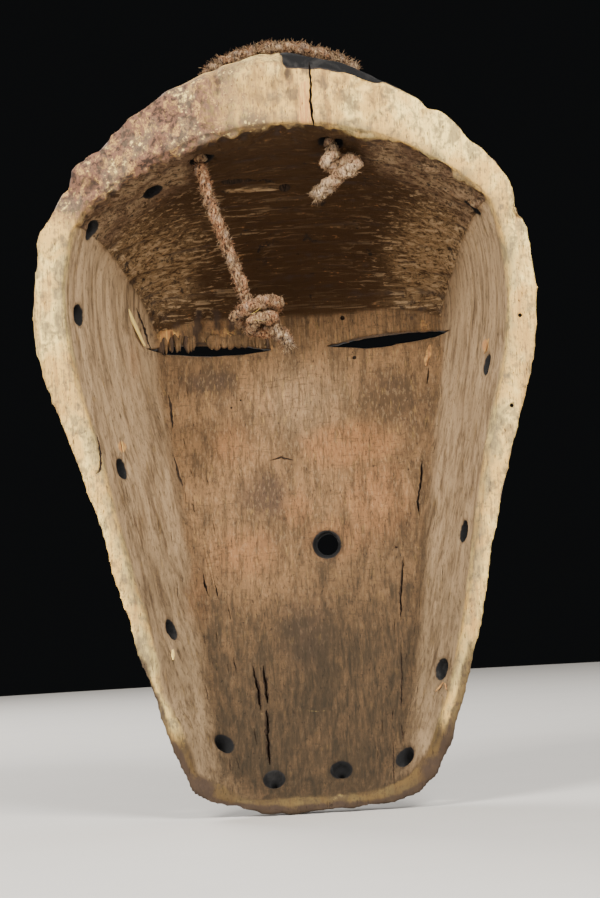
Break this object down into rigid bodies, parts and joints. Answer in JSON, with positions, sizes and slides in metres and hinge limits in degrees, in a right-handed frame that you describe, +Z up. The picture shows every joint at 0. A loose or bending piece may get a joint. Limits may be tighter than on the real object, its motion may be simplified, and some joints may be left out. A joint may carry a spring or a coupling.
{
  "type": "carved wooden face mask",
  "caption": "Deep hollow face mask carved from one block, with eye slits, a mouth hole, lacing holes round the rim and a knotted fibre rope over the crown.",
  "frame": {"origin": "the hang point: on the outside of the crown, in the middle, just under the rope that spans it", "axes": "+Z up the mask toward the crown, +Y out of the open hollow toward the wearer, and the face looks toward -Y"},
  "size_m": [0.197, 0.1121, 0.307],
  "materials": {
    "carved_wood": "old hand-carved wood, worn pale on the rim, with a dark worn patina outside",
    "plant_fibre_rope": "rough two-ply plant fibre, fuzzy and dusty"
  },
  "bodies": {
    "mask": {"mask_body": "carved_wood", "forehead_rope": "plant_fibre_rope"},
    "long_end": {"rope_tail": "plant_fibre_rope", "tail_knot": "plant_fibre_rope", "tail_end": "plant_fibre_rope"},
    "short_end": {"stub_knot": "plant_fibre_rope", "stub_end": "plant_fibre_rope"}
  },
  "joints": [
    {"name": "long_end_swing", "type": "hinge", "parent": "mask", "child": "long_end", "pos_m": [0.0315, 0.009, -0.0432], "axis": [1, 0, 0], "range_deg": [-45, 70]},
    {"name": "short_end_swing", "type": "hinge", "parent": "mask", "child": "short_end", "pos_m": [-0.0204, 0.009, -0.0394], "axis": [1, 0, 0], "range_deg": [-15, 40]}
  ]
}
